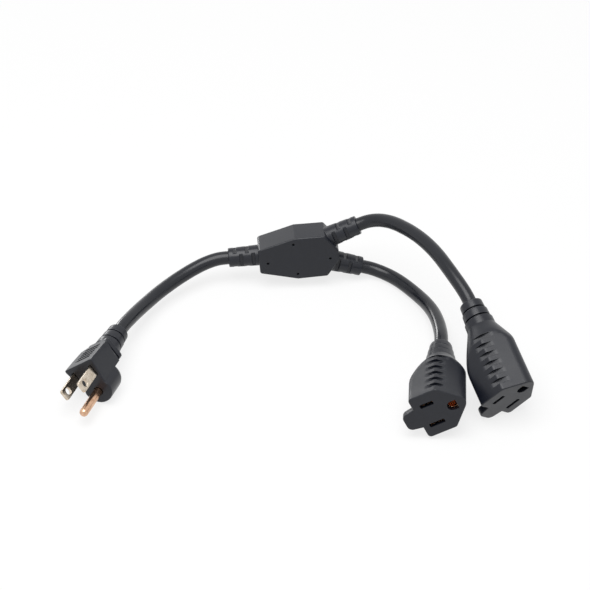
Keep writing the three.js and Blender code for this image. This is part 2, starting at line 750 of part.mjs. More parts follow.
function turnedAboutZ(solid, angle, x, y) {
  const geometry = geometryOf(solid);
  geometry.rotateZ(angle);
  geometry.translate(x, y, 0);
  return solidOf(geometry);
}

function boreAlongX(length) {
  const geometry = new THREE.CylinderGeometry(boreDiameter / 2, boreDiameter / 2, length, boreSides);
  geometry.rotateZ(-Math.PI / 2);
  geometry.translate(length / 2, 0, 0);
  return solidOf(geometry);
}

function junctionHousing() {
  const r = blockCornerRadius;
  const block = prism(outline([
    [-blockInputEnd, -blockInputHalfWidth, r],
    [-blockShoulder, -blockHalfWidth, r],
    [blockOutputShoulder, -blockOutputHalfWidth, r],
    [blockOutputEnd, -blockForkHalfWidth, r],
    [blockOutputEnd, blockForkHalfWidth, r],
    [blockOutputShoulder, blockOutputHalfWidth, r],
    [-blockShoulder, blockHalfWidth, r],
    [-blockInputEnd, blockInputHalfWidth, r],
  ]), -blockThickness / 2, blockThickness / 2, blockEdgeRadius, 2);
  const reliefs = [turnedAboutZ(flexibleRelief(blockReliefLength), Math.PI, -blockInputEnd, 0)];
  const bores = [turnedAboutZ(boreAlongX(blockReliefLength + 12), Math.PI, -blockInputEnd + 11, 0)];
  for (const side of [-1, 1]) {
    const reach = outputAxisX - chamberOutputReach + 3;
    reliefs.push(turnedAboutZ(flexibleRelief(blockOutputReliefLength), side * outputAngle,
      outputAxisX, side * outputAxisY));
    bores.push(turnedAboutZ(boreAlongX(blockOutputReliefLength + reach + 1), side * outputAngle,
      outputAxisX - reach * Math.cos(outputAngle), side * (outputAxisY - reach * Math.sin(outputAngle))));
  }
  const height = rackHeight + 2 * clearance;
  const forkStart = rackLength / 2 + clearance;
  const chamber = join(
    box(chamberInputReach + chamberOutputReach, 2 * (rackHalfWidth + clearance), height,
      (chamberOutputReach - chamberInputReach) / 2, 0, 0),
    box(chamberOutputReach - forkStart, 2 * chamberOutputHalfWidth, height,
      (chamberOutputReach + forkStart) / 2, 0, 0),
  );
  const pins = corePinPlaces.map(([x, y]) => rod(corePinDiameter / 2, -blockThickness, blockThickness, 10, x, y));
  return part("junction_housing", cut(join(block, ...reliefs), chamber, ...bores, ...pins), mouldedBlack);
}

// Three levels, one for each circuit, open at both ends
function spliceRack() {
  const shell = box(rackLength, 2 * rackHalfWidth, rackHeight);
  const levels = [-1, 0, 1].map((level) => box(rackLength + 2, 2 * (rackHalfWidth - rackWall), rackSlotHeight,
    0, 0, level * rackPitch));
  return part("splice_rack", cut(shell, ...levels), insertNatural);
}

function levelOf(circuit) {
  return { line: 1, ground: 0, neutral: -1 }[circuit] * rackPitch;
}

function splice(circuit) {
  const barrel = prism(outline([
    [-spliceLength / 2, -coreDiameter / 2, 0.5],
    [0, -coreDiameter / 2],
    [spliceLength / 3, -spliceWidth / 2],
    [spliceLength / 2, -spliceWidth / 2, 0.5],
    [spliceLength / 2, spliceWidth / 2, 0.5],
    [spliceLength / 3, spliceWidth / 2],
    [0, coreDiameter / 2],
    [-spliceLength / 2, coreDiameter / 2, 0.5],
  ]), -coreDiameter / 2, coreDiameter / 2, 0, 2);
  const mesh = part(`${circuit}_splice`, barrel, nickel);
  mesh.position.z = levelOf(circuit);
  return mesh;
}

function inputCore(circuit) {
  const start = -spliceLength / 2 - clearance;
  const bend = chamberInputReach;
  const mouth = blockInputEnd + blockReliefLength;
  const stations = [[start, 0], [start - 2, 0], [-bend + 3, 0.5], [-bend - 1, 1], [-(bend + mouth) / 2, 1], [-mouth, 1]];
  const points = stations.map(([x, spread]) => {
    const [across, up] = bundlePlace(circuit, spread, rackPitch);
    return [x, across, up];
  });
  return part(`input_${circuit}_core`, tube(points, coreDiameter, coreSides, coreSteps), coreColours[circuit]);
}

// The two cores of a circuit leave its splice side by side, one to each output bore
function outputCore(circuit, side, name) {
  const start = spliceLength / 2 + clearance;
  const apart = coreSpacing / 2;
  const alongBore = (distance, spread) => {
    const [across, up] = bundlePlace(circuit, spread, rackPitch);
    return [
      outputAxisX + distance * Math.cos(outputAngle) - across * Math.sin(outputAngle),
      side * (outputAxisY + distance * Math.sin(outputAngle) + across * Math.cos(outputAngle)),
      up,
    ];
  };
  const points = [
    [start, side * apart, levelOf(circuit)],
    [start + 1, side * apart, levelOf(circuit)],
    alongBore(outputGather - outputAxisX - 3.5, 0.5),
    alongBore(outputGather - outputAxisX, 1),
    alongBore(outputGather - outputAxisX + 3, 1),
    alongBore(blockOutputReliefLength / 2, 1),
    alongBore(blockOutputReliefLength, 1),
  ];
  return part(`${name}_${circuit}_core`, tube(points, coreDiameter, coreSides, coreSteps), coreColours[circuit]);
}

function junction() {
  const pieces = [junctionHousing(), spliceRack()];
  for (const circuit of circuits) {
    pieces.push(splice(circuit), inputCore(circuit));
    pieces.push(outputCore(circuit, -1, "lower_output"), outputCore(circuit, 1, "upper_output"));
  }
  return assembled(junctionPlace, pieces);
}

function cord(name, course) {
  return part(name, tube(course, cordDiameter, cordSides, cordSteps), cordBlack);
}

const splitter = new THREE.Group();
splitter.add(
  plug(),
  junction(),
  receptacle("near", nearReceptaclePlace),
  receptacle("far", farReceptaclePlace),
  cord("input_cord", inputCordCourse),
  cord("near_output_cord", nearCordCourse),
  cord("far_output_cord", farCordCourse),
);

export default splitter;
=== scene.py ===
"""Looks of a power cord splitter: a plug, a junction block and two receptacles on round cords."""

import json
import logging
import math
from collections.abc import Callable, Iterator, Sequence
from contextlib import contextmanager
from dataclasses import dataclass
from enum import Enum

import bmesh
import bpy
from mathutils import Matrix, Vector

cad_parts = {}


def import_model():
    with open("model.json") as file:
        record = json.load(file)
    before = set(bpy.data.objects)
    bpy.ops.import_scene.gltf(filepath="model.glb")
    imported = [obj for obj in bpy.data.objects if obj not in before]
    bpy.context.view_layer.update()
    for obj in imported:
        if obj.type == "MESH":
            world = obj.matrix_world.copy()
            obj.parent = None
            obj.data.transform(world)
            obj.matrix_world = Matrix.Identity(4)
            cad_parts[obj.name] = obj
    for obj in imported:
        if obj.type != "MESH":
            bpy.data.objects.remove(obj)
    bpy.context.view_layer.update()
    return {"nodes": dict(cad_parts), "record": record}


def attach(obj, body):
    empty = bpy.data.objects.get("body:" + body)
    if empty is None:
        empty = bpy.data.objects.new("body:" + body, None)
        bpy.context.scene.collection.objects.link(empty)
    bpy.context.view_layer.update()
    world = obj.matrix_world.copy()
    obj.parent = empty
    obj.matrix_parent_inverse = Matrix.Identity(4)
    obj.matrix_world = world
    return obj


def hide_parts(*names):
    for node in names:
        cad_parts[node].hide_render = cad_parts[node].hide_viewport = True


logging.basicConfig(level=logging.INFO, format="%(message)s")
log = logging.getLogger("splitter")

MM = 0.001
TINY = 1e-4
STEP = 0.03
SHARP = math.radians(34)
ROOT = "root"
MOUTH_RADIUS = 3.95
MOUTH_SIDES = 32

Point = tuple[float, float]
Corner = tuple[float, float, float]
Course = Sequence[tuple[float, float, float]]


class Side(Enum):
    """The two receptacles."""

    NEAR = "near"
    FAR = "far"


class Cut(Enum):
    """How a recess in a cap ends."""

    OPEN = "open"
    FLOOR = "floor"


def linear(colour: str) -> tuple[float, float, float, float]:
    """Turns an sRGB hex colour into linear values.

    Args:
        colour: Six hex digits after a hash sign.

    Returns:
        Red, green, blue and alpha, as shader sockets take them.
    """
    parts = [int(colour[i : i + 2], 16) / 255 for i in (1, 3, 5)]
    red, green, blue = (c / 12.92 if c <= 0.04045 else ((c + 0.055) / 1.055) ** 2.4 for c in parts)
    return red, green, blue, 1.0


def place(x: float, y: float, z: float, turns: tuple[float, float, float]) -> Matrix:
    """Gives the place of a moulding.

    Args:
        x: Place along X, in millimetres.
        y: Place along Y.
        z: Height above the surface.
        turns: Degrees about Z, then Y, then X.

    Returns:
        The matrix from the moulding's own frame to the object's, both in millimetres.
    """
    about_z, about_y, about_x = (math.radians(t) for t in turns)
    turn = Matrix.Rotation(about_z, 4, "Z") @ Matrix.Rotation(about_y, 4, "Y")
    turn = turn @ Matrix.Rotation(about_x, 4, "X")
    return Matrix.Translation((x, y, z)) @ turn


def mixed(a: float, b: float, share: float) -> float:
    """Blends two values.

    Args:
        a: Value at share 0.
        b: Value at share 1.
        share: From 0 to 1, and held within that.

    Returns:
        The value between them.
    """
    return a + (b - a) * min(max(share, 0.0), 1.0)


# Outlines and what bounds them


class Outline:
    """A closed outline with rounded corners, read from a point inside it."""

    def __init__(self, corners: Sequence[Corner], centre: float = 0.0, arc_steps: int = 6) -> None:
        """Rounds the corners.

        Args:
            corners: x, y and radius of each corner, in order.
            centre: x of the point that bearings are taken from.
            arc_steps: Steps in each rounded corner.
        """
        self.centre = centre
        self.points: list[Vector] = []
        for i, (x, y, radius) in enumerate(corners):
            corner = Vector((x, y))
            back = (Vector(corners[i - 1][:2]) - corner).normalized()
            ahead = (Vector(corners[(i + 1) % len(corners)][:2]) - corner).normalized()
            half = back.angle(ahead) / 2
            if radius <= 0:
                self.points.append(corner)
                continue
            middle = corner + (back + ahead).normalized() * (radius / math.sin(half))
            start = corner + back * (radius / math.tan(half)) - middle
            turn = back.cross(ahead)
            sweep = (math.pi - 2 * half) * (-1 if turn > 0 else 1)
            for step in range(arc_steps + 1):
                angle = sweep * step / arc_steps
                arm = Matrix.Rotation(angle, 2) @ start
                self.points.append(middle + arm)

    def bearings(self, step: float) -> list[float]:
        """Lists bearings at which the outline keeps its corners.

        Args:
            step: Longest piece of outline between two bearings.

        Returns:
            Rising bearings in radians.
        """
        found = set()
        for a, b in zip(self.points, self.points[1:] + self.points[:1]):
            count = max(1, math.ceil((b - a).length / step))
            for i in range(count):
                p = a.lerp(b, i / count)
                found.add(round(math.atan2(p.y, p.x - self.centre) % math.tau, 5))
        return sorted(found)

    def reach(self, bearing: float) -> float:
        """Measures from the inner point to the outline.

        Args:
            bearing: Direction in radians.

        Returns:
            The farthest crossing.
        """
        way = Vector((math.cos(bearing), math.sin(bearing)))
        start = Vector((self.centre, 0.0))
        far = 0.0
        for a, b in zip(self.points, self.points[1:] + self.points[:1]):
            edge = b - a
            across = way.cross(edge)
            if abs(across) < 1e-12:
                continue
            share = (a - start).cross(way) / across
            if -1e-6 <= share <= 1 + 1e-6:
                far = max(far, (a - start).cross(edge) / across)
        return far


def flat_bound(bearing: float, facing: float, distance: float) -> float:
    """Measures to a flat side.

    Args:
        bearing: Direction in radians.
        facing: Direction that the side faces.
        distance: How far off it is.

    Returns:
        The reach, or a very long one where the side isn't met.
    """
    share = math.cos(bearing - facing)
    return distance / share if share > 0.02 else 1e6


def round_bound(bearing: float, offset: float, radius: float) -> float:
    """Measures to a circle whose middle lies off the axis along x.

    Args:
        bearing: Direction in radians.
        offset: The middle's x from the axis.
        radius: The circle's radius.

    Returns:
        The reach, or 0 where the circle isn't met.
    """
    under = radius**2 - (offset * math.sin(bearing)) ** 2
    return max(0.0, offset * math.cos(bearing) + math.sqrt(under)) if under > 0 else 0.0


def soft_least(a: float, b: float, blend: float) -> float:
    """Takes the smaller value, with a rounded change from one to the other.

    Args:
        a: One value.
        b: The other value.
        blend: How far apart the values are where the rounding starts.

    Returns:
        The smaller one, or a little less near the change.
    """
    overlap = max(blend - abs(a - b), 0.0) / blend
    return min(a, b) - overlap**2 * blend / 4


def rim_inset(depth: float, radius: float) -> float:
    """Gives how far a rounded rim is drawn in.

    Args:
        depth: Distance behind the face.
        radius: The rim's radius.

    Returns:
        The inset, 0 behind the rim.
    """
    if depth >= radius:
        return 0.0
    return radius - math.sqrt(radius**2 - (radius - max(depth, 0.0)) ** 2)


@dataclass(frozen=True)
class Collars:
    """A strain relief of three stepped collars with narrow grooves between them."""

    start: float
    end: float
    first_radius: float
    last_radius: float
    count: int = 3
    groove: float = 1.0
    groove_depth: float = 2.0
    rounding: float = 0.45

    @property
    def length(self) -> float:
        """Length of one collar."""
        return (self.end - self.start - (self.count - 1) * self.groove) / self.count

    def breaks(self) -> list[float]:
        """Lists where the radius steps."""
        starts = [self.start + i * (self.length + self.groove) for i in range(self.count)]
        return starts + [s + self.length for s in starts[:-1]]

    def stations(self) -> list[float]:
        """Lists the other places where a ring is needed."""
        found = []
        for i in range(self.count):
            start = self.start + i * (self.length + self.groove)
            found += [start + self.rounding * s for s in (0.3, 1.0)]
            found += [start + self.length - self.rounding * s for s in (1.0, 0.55, 0.2)]
        return found + [self.end]

    def radius(self, along: float) -> float:
        """Gives the radius at a place along the relief.

        Args:
            along: The place, in the moulding's own measure.

        Returns:
            The radius of the collar or of the groove.
        """
        pitch = self.length + self.groove
        index = min(int((along - self.start) / pitch), self.count - 1)
        inside = along - self.start - index * pitch
        radius = mixed(self.first_radius, self.last_radius, index / (self.count - 1))
        if inside > self.length + TINY / 2:
            return radius - self.groove_depth
        radius -= 0.2 * inside / self.length + 1.4 * rim_inset(self.length - inside, self.rounding)
        return radius - (rim_inset(inside, self.rounding) if index else 0.0)


# Mesh building


@dataclass(frozen=True)
class Recess:
    """A loop cut into a cap, with walls that go back from it."""

    points: tuple[Point, ...]
    depth: float
    end: Cut = Cut.OPEN


def round_recess(x: float, y: float, radius: float, depth: float, end: Cut, sides: int = 24) -> Recess:
    """Makes a round recess.

    Args:
        x: Middle of the recess.
        y: Middle of the recess.
        radius: Its radius.
        depth: How deep it goes.
        end: How it ends.
        sides: Sides of the loop.

    Returns:
        The recess.
    """
    angles = [math.tau * i / sides for i in range(sides)]
    return Recess(tuple((x + radius * math.cos(a), y + radius * math.sin(a)) for a in angles), depth, end)


def square_recess(
    x: float, y: float, width: float, height: float, depth: float, radius: float = 0.3
) -> Recess:
    """Makes a rectangular recess with small corner radii.

    Args:
        x: Middle of the recess.
        y: Middle of the recess.
        width: Size along x.
        height: Size along y.
        depth: How deep it goes.
        radius: Radius of its corners.

    Returns:
        The recess.
    """
    w, h = width / 2, height / 2
    corners = [(-w, -h, radius), (w, -h, radius), (w, h, radius), (-w, h, radius)]
    return Recess(tuple((x + p.x, y + p.y) for p in Outline(corners, arc_steps=3).points), depth)


class Shell:
    """A mesh under construction, in millimetres."""

    def __init__(self) -> None:
        """Starts with nothing."""
        self.bm = bmesh.new()

    @contextmanager
    def placed(self, matrix: Matrix) -> Iterator[None]:
        """Moves what is added inside the block.

        Args:
            matrix: The move.

        Yields:
            Nothing.
        """
        before = set(self.bm.verts)
        yield
        added = [v for v in self.bm.verts if v not in before]
        bmesh.ops.transform(self.bm, matrix=matrix, verts=added)

    def ring(
        self, bearings: Sequence[float], radii: Sequence[float], centre: float, z: float
    ) -> list[bmesh.types.BMEdge]:
        """Adds one closed ring.

        Args:
            bearings: Bearing of each point.
            radii: Reach of each point.
            centre: x of the axis.
            z: Height of the ring.

        Returns:
            Its edges.
        """
        verts = bmesh.ops.create_circle(self.bm, cap_ends=False, segments=len(bearings), radius=1.0)["verts"]
        for vert, bearing, radius in zip(verts, bearings, radii):
            vert.co = (centre + radius * math.cos(bearing), radius * math.sin(bearing), z)
        return list({edge for vert in verts for edge in vert.link_edges})

    def loft(
        self,
        bearings: Sequence[float],
        reach: Callable[[int, float], float],
        stations: Sequence[float],
        breaks: Sequence[float],
        centre: float = 0.0,
        heading: int = 1,
    ) -> tuple[list[bmesh.types.BMEdge], list[bmesh.types.BMEdge]]:
        """Bridges rings along an axis.

        Args:
            bearings: Bearings of each ring's points.
            reach: Gives the reach for a bearing's index and a place along the axis.
            stations: Places of the plain rings.
            breaks: Places where the form steps, with a ring on each side of the step.
            centre: x of the axis.
            heading: 1 to go up along z, or -1 to go down.

        Returns:
            The edges of the first ring and of the last.
        """
        places = [*stations, *(b + side * STEP for b in breaks for side in (-1, 1))]
        first: list[bmesh.types.BMEdge] = []
        last: list[bmesh.types.BMEdge] = []
        for at in sorted(places):
            radii = [reach(i, at) for i in range(len(bearings))]
            edges = self.ring(bearings, radii, centre, heading * at)
            if last:
                bmesh.ops.bridge_loops(self.bm, edges=last + edges)
            first = first or edges
            last = edges
        return first, last

    def cap(self, rim: list[bmesh.types.BMEdge], z: float, recesses: Sequence[Recess], inward: int) -> None:
        """Closes a rim with a flat face that has recesses.

        Args:
            rim: Edges of the rim.
            z: Height of the face.
            recesses: What is cut into it.
            inward: 1 where the recesses go up along z, or -1.
        """
        edges = list(rim)
        loops = []
        for recess in recesses:
            verts = [self.bm.verts.new((x, y, z)) for x, y in recess.points]
            loop = [self.bm.edges.new(pair) for pair in zip(verts, verts[1:] + verts[:1])]
            loops.append((recess, loop))
            edges += loop
        bmesh.ops.triangle_fill(self.bm, use_beauty=True, use_dissolve=False, edges=edges)
        for recess, loop in loops:
            grown = bmesh.ops.extrude_edge_only(self.bm, edges=loop)["geom"]
            moved = [g for g in grown if isinstance(g, bmesh.types.BMVert)]
            bmesh.ops.translate(self.bm, verts=moved, vec=(0, 0, inward * recess.depth))
            if recess.end is Cut.FLOOR:
                ends = [g for g in grown if isinstance(g, bmesh.types.BMEdge)]
                bmesh.ops.triangle_fill(self.bm, use_beauty=True, use_dissolve=True, edges=ends)

    def finish(
        self, name: str, matrix: Matrix, material: bpy.types.Material, slot: str, nodes: Sequence[str]
    ) -> bpy.types.Object:
        """Makes the object.

        Args:
            name: Name of the piece.
            matrix: Place of the moulding, in millimetres.
            material: Its material.
            slot: The record's slot for it; not used.
            nodes: CAD nodes that it stands for.

        Returns:
            The object, in metres, which rides on the root.
        """
        bm = self.bm
        bmesh.ops.remove_doubles(bm, verts=bm.verts, dist=TINY)
        bmesh.ops.dissolve_degenerate(bm, dist=TINY, edges=bm.edges)
        bmesh.ops.recalc_face_normals(bm, faces=bm.faces)
        for face in bm.faces:
            face.smooth = True
        for edge in bm.edges:
            edge.smooth = edge.calc_face_angle(0.0) < SHARP
        bmesh.ops.transform(bm, matrix=Matrix.Scale(MM, 4) @ matrix, verts=bm.verts)
        mesh = bpy.data.meshes.new(name)
        bm.to_mesh(mesh)
        bm.free()
        piece = bpy.data.objects.new(name, mesh)
        bpy.context.scene.collection.objects.link(piece)
        mesh.materials.append(material)
        weighted = piece.modifiers.new("weighted_normals", "WEIGHTED_NORMAL")
        weighted.keep_sharp = True
        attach(piece, ROOT)
        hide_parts(*nodes)
        log.info("%s: %d faces", name, len(mesh.polygons))
        return piece


# Materials


def add_node(tree: bpy.types.NodeTree, kind: str, settings: dict | None = None, **sockets) -> bpy.types.Node:
    """Adds a shader node.

    Args:
        tree: Where it goes.
        kind: Its type name.
        settings: Values of its own properties.
        **sockets: A value or an output for each input, with underscores for spaces.

    Returns:
        The node.
    """
    node = tree.nodes.new(kind)
    for key, value in (settings or {}).items():
        setattr(node, key, value)
    for key, value in sockets.items():
        numbered = key[0] == "i" and key[1:].isdigit()
        socket = node.inputs[int(key[1:]) if numbered else key.replace("_", " ")]
        if isinstance(value, bpy.types.NodeSocket):
            tree.links.new(value, socket)
        else:
            socket.default_value = value
    return node


def new_material(name: str) -> tuple[bpy.types.Material, bpy.types.NodeTree, bpy.types.Node]:
    """Starts a material.

    Args:
        name: Its name.

    Returns:
        The material, its nodes, and its main shader.
    """
    material = bpy.data.materials.new(name)
    material.use_nodes = True
    tree = material.node_tree
    return material, tree, tree.nodes["Principled BSDF"]


def seen_share(tree: bpy.types.NodeTree, path: bpy.types.Node) -> bpy.types.NodeSocket:
    """Adds up the rays that see a surface: straight, in a reflection or through something clear.

    Args:
        tree: Where the nodes go.
        path: The light path node.

    Returns:
        One where any of them does.
    """
    kinds = ("Camera", "Glossy", "Transmission")
    straight, mirrored, through = (path.outputs[f"Is {kind} Ray"] for kind in kinds)
    most = {"operation": "MAXIMUM"}
    seen = add_node(tree, "ShaderNodeMath", most, i0=straight, i1=mirrored)
    return add_node(tree, "ShaderNodeMath", most, i0=seen.outputs[0], i1=through).outputs[0]


def noise(
    tree: bpy.types.NodeTree,
    spot: bpy.types.NodeSocket,
    size_mm: float,
    detail: float,
    roughness: float = 0.5,
) -> bpy.types.Node:
    """Adds a noise texture.

    Args:
        tree: Where it goes.
        spot: The place it is read at.
        size_mm: Size of its largest patches.
        detail: How many finer layers it has.
        roughness: How strong they are.

    Returns:
        The node.
    """
    scale = 1 / (size_mm * MM)
    return add_node(tree, "ShaderNodeTexNoise", Vector=spot, Scale=scale, Detail=detail, Roughness=roughness)


@dataclass(frozen=True)
class PlasticFinish:
    """Moulded or extruded plastic."""

    name: str
    colour: str
    worn_colour: str
    roughness: float
    grain_mm: float
    grain_depth_mm: float
    rim_mm: float = 0.35
    specular: float = 0.5
    cloud_mm: float = 14.0
    rubbed_mm: float = 4.0
    most_worn: float = 0.55

    def material(self) -> bpy.types.Material:
        """Builds it: cloudy colour, fine spark grain, faint rubbed patches and softened edges."""
        material, tree, shader = new_material(self.name)
        spot = add_node(tree, "ShaderNodeTexCoord").outputs["Object"]
        cloud = noise(tree, spot, self.cloud_mm, 4.0, 0.6)
        grain = noise(tree, spot, self.grain_mm, 2.0)
        rubbed = noise(tree, spot, self.rubbed_mm, 6.0, 0.75)
        limits = {"From_Min": 0.5, "From_Max": 0.8, "To_Max": self.most_worn}
        share = add_node(tree, "ShaderNodeMapRange", Value=rubbed.outputs[0], **limits)
        colours = {"i6": linear(self.colour), "i7": linear(self.worn_colour)}
        tint = add_node(tree, "ShaderNodeMix", {"data_type": "RGBA"}, i0=share.outputs[0], **colours)
        limits = {"From_Min": 0.3, "From_Max": 0.7}
        limits |= {"To_Min": self.roughness - 0.05, "To_Max": self.roughness + 0.06}
        rough = add_node(tree, "ShaderNodeMapRange", Value=cloud.outputs[0], **limits)
        rim = add_node(tree, "ShaderNodeBevel", {"samples": 6}, Radius=self.rim_mm * MM)
        relief = {"Strength": 0.6, "Distance": self.grain_depth_mm * MM, "Height": grain.outputs[0]}
        bump = add_node(tree, "ShaderNodeBump", Normal=rim.outputs[0], **relief)
        tree.links.new(tint.outputs[2], shader.inputs["Base Color"])
        tree.links.new(rough.outputs[0], shader.inputs["Roughness"])
        tree.links.new(bump.outputs[0], shader.inputs["Normal"])
        shader.inputs["Specular IOR Level"].default_value = self.specular
        return material


@dataclass(frozen=True)
class MetalFinish:
    """Stamped, drawn or crimped metal."""

    name: str
    colour: str
    tarnish: str
    roughness: float
    brush_mm: tuple[float, float, float] = (0.35, 0.35, 4.0)
    line_depth_mm: float = 0.004
    cloud_mm: float = 3.0
    most_tarnished: float = 0.8
    rim_mm: float = 0.15

    def material(self) -> bpy.types.Material:
        """Builds it: fine drawn lines, patches of tarnish and a rubbed, uneven gloss."""
        material, tree, shader = new_material(self.name)
        spot = add_node(tree, "ShaderNodeTexCoord").outputs["Object"]
        scale = tuple(1 / (s * MM) for s in self.brush_mm)
        stretched = add_node(tree, "ShaderNodeMapping", Vector=spot, Scale=scale)
        lines = add_node(tree, "ShaderNodeTexNoise", Vector=stretched.outputs[0], Scale=1.0, Detail=3.0)
        cloud = noise(tree, spot, self.cloud_mm, 5.0, 0.7)
        limits = {"From_Min": 0.42, "From_Max": 0.75, "To_Max": self.most_tarnished}
        share = add_node(tree, "ShaderNodeMapRange", Value=cloud.outputs[0], **limits)
        colours = {"i6": linear(self.colour), "i7": linear(self.tarnish)}
        tint = add_node(tree, "ShaderNodeMix", {"data_type": "RGBA"}, i0=share.outputs[0], **colours)
        limits = {"To_Min": self.roughness - 0.06, "To_Max": self.roughness + 0.16}
        rough = add_node(tree, "ShaderNodeMapRange", Value=cloud.outputs[0], **limits)
        rim = add_node(tree, "ShaderNodeBevel", {"samples": 6}, Radius=self.rim_mm * MM)
        relief = {"Strength": 0.35, "Distance": self.line_depth_mm * MM, "Height": lines.outputs[0]}
        bump = add_node(tree, "ShaderNodeBump", Normal=rim.outputs[0], **relief)
        tree.links.new(tint.outputs[2], shader.inputs["Base Color"])
        tree.links.new(rough.outputs[0], shader.inputs["Roughness"])
        tree.links.new(bump.outputs[0], shader.inputs["Normal"])
        shader.inputs["Metallic"].default_value = 1.0
        return material


FINISHES: dict[str, PlasticFinish | MetalFinish] = {
    # Flexible vinyl moulded in a spark-eroded tool: blue-black satin with a very fine, even grain
    "moulded_black": PlasticFinish(
        "satin_moulding", "#10131c", "#191d27", 0.33, 0.25, 0.006, specular=0.42
    ),
    # Flexible vinyl extruded over the cores: smoother than the mouldings, with long soft highlights
    "cord_jacket": PlasticFinish(
        "satin_jacket", "#0d1018", "#151922", 0.26, 0.5, 0.004, rim_mm=0.2, specular=0.42
    ),
    # Hard uncoloured resin moulded in a plain tool: creamy and dull
    "insert_natural": PlasticFinish("natural_insert", "#b9b09a", "#a2977e", 0.55, 0.3, 0.03),
    # Brass strip, rolled, stamped and plated: pale and warm, with rolling lines and bright edges
    "nickel_brass": MetalFinish("plated_strip", "#d9cdbd", "#a3917a", 0.18),
    # Brass drawn to rod or stamped from sheet: warm and polished, with darker patches
    "brass": MetalFinish("drawn_brass", "#dcb598", "#9a6a48", 0.16),
    # Copper strands, tinned and crimped: grey, uneven and nearly matte
    "tinned_copper": MetalFinish("crimped_tin", "#b9b4a9", "#8d877a", 0.4),
    # Line core, extruded vinyl: plain black with a wide, chalky sheen
    "core_black": PlasticFinish("core_black", "#17181a", "#232427", 0.5, 0.2, 0.01),
    # Neutral core, extruded vinyl: off-white and chalky
    "core_white": PlasticFinish("core_white", "#e1dfd8", "#cfccc2", 0.5, 0.2, 0.01),
    # Ground core, extruded vinyl: mid green and chalky
    "core_green": PlasticFinish("core_green", "#2b7a42", "#246537", 0.5, 0.2, 0.01),
}


# Cords


@dataclass(frozen=True)
class Cord:
    """A round jacketed cord between two mouldings."""

    node: str
    length_mm: float
    course: Course
    diameter_mm: float = 7.6
    tuck_mm: float = 0.9

    def build(self, material: bpy.types.Material) -> bpy.types.Object:
        """Lays the cord along its course, with its ends tucked into the reliefs.

        Args:
            material: The jacket.

        Returns:
            The curve.
        """
        points = [Vector(p) for p in self.course]
        points[0] += (points[0] - points[1]).normalized() * self.tuck_mm
        points[-1] += (points[-1] - points[-2]).normalized() * self.tuck_mm
        curve = bpy.data.curves.new(f"{self.node}_jacket", "CURVE")
        curve.dimensions = "3D"
        curve.bevel_depth = self.diameter_mm / 2 * MM
        curve.bevel_resolution = 10
        curve.resolution_u = 10
        curve.use_fill_caps = True
        spline = curve.splines.new("BEZIER")
        spline.bezier_points.add(len(points) - 1)
        for knot, point in zip(spline.bezier_points, points):
            knot.co = point * MM
            knot.handle_left_type = knot.handle_right_type = "AUTO"
        curve.materials.append(material)
        piece = bpy.data.objects.new(f"{self.node}_jacket", curve)
        bpy.context.scene.collection.objects.link(piece)
        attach(piece, ROOT)
        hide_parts(self.node)
        log.info("%s: %d points", piece.name, len(points))
        return piece


CORDS = (
    Cord(
        "input_cord",
        94.7,
        (
            (-38.5, 62.5, 15.4), (-40.5, 62.4, 15.3), (-44.4, 61.9, 14.9), (-50.1, 59.9, 14.1),
            (-56.8, 56.1, 12.9), (-63.8, 50.8, 11.6), (-70.7, 44.2, 10.6), (-77.1, 36.6, 10.1),
            (-82.7, 27.9, 10.4), (-87.4, 18.9, 11.6), (-91.3, 10.2, 13), (-94.3, 3.3, 13.9),
            (-96.2, -1.6, 14.2), (-96.9, -3.4, 14.3),
        ),
    ),
    Cord(
        "near_output_cord",
        101.8,
        (
            (36.9, 65.4, 7.2), (38.8, 65.4, 6.7), (42.1, 65.2, 5.9), (46.6, 64, 4.9), (51, 61.7, 4.3),
            (55.7, 57.9, 4.1), (60.3, 52.8, 4.1), (64.8, 46.9, 4.1), (68.9, 40.4, 4.5), (72.4, 33.2, 5.5),
            (75.4, 24.7, 6.8), (77.4, 15.1, 8.4), (78.5, 5.5, 9.9), (78.8, -4.5, 11.4), (78.3, -12.5, 11.9),
            (78.2, -14.5, 12.1),
        ),
    ),
    Cord(
        "far_output_cord",
        104.9,
        (
            (34.8, 68.6, 34.1), (36.7, 68.8, 34.9), (40.6, 68.6, 36.5), (45.2, 67, 38.3), (49.8, 64, 40),
            (54.5, 59.6, 41.6), (59.5, 53.7, 43), (64.4, 47.1, 44.2), (69.2, 39.8, 45), (73.8, 32.1, 45.2),
            (78, 24.1, 44.9), (82, 15.8, 44), (85.7, 8.5, 42.6), (88.9, 2.5, 41), (91.6, -2.8, 39.2),
            (93, -6, 37.9), (93.7, -7.8, 37.2),
        ),
    ),
)


# Mouldings


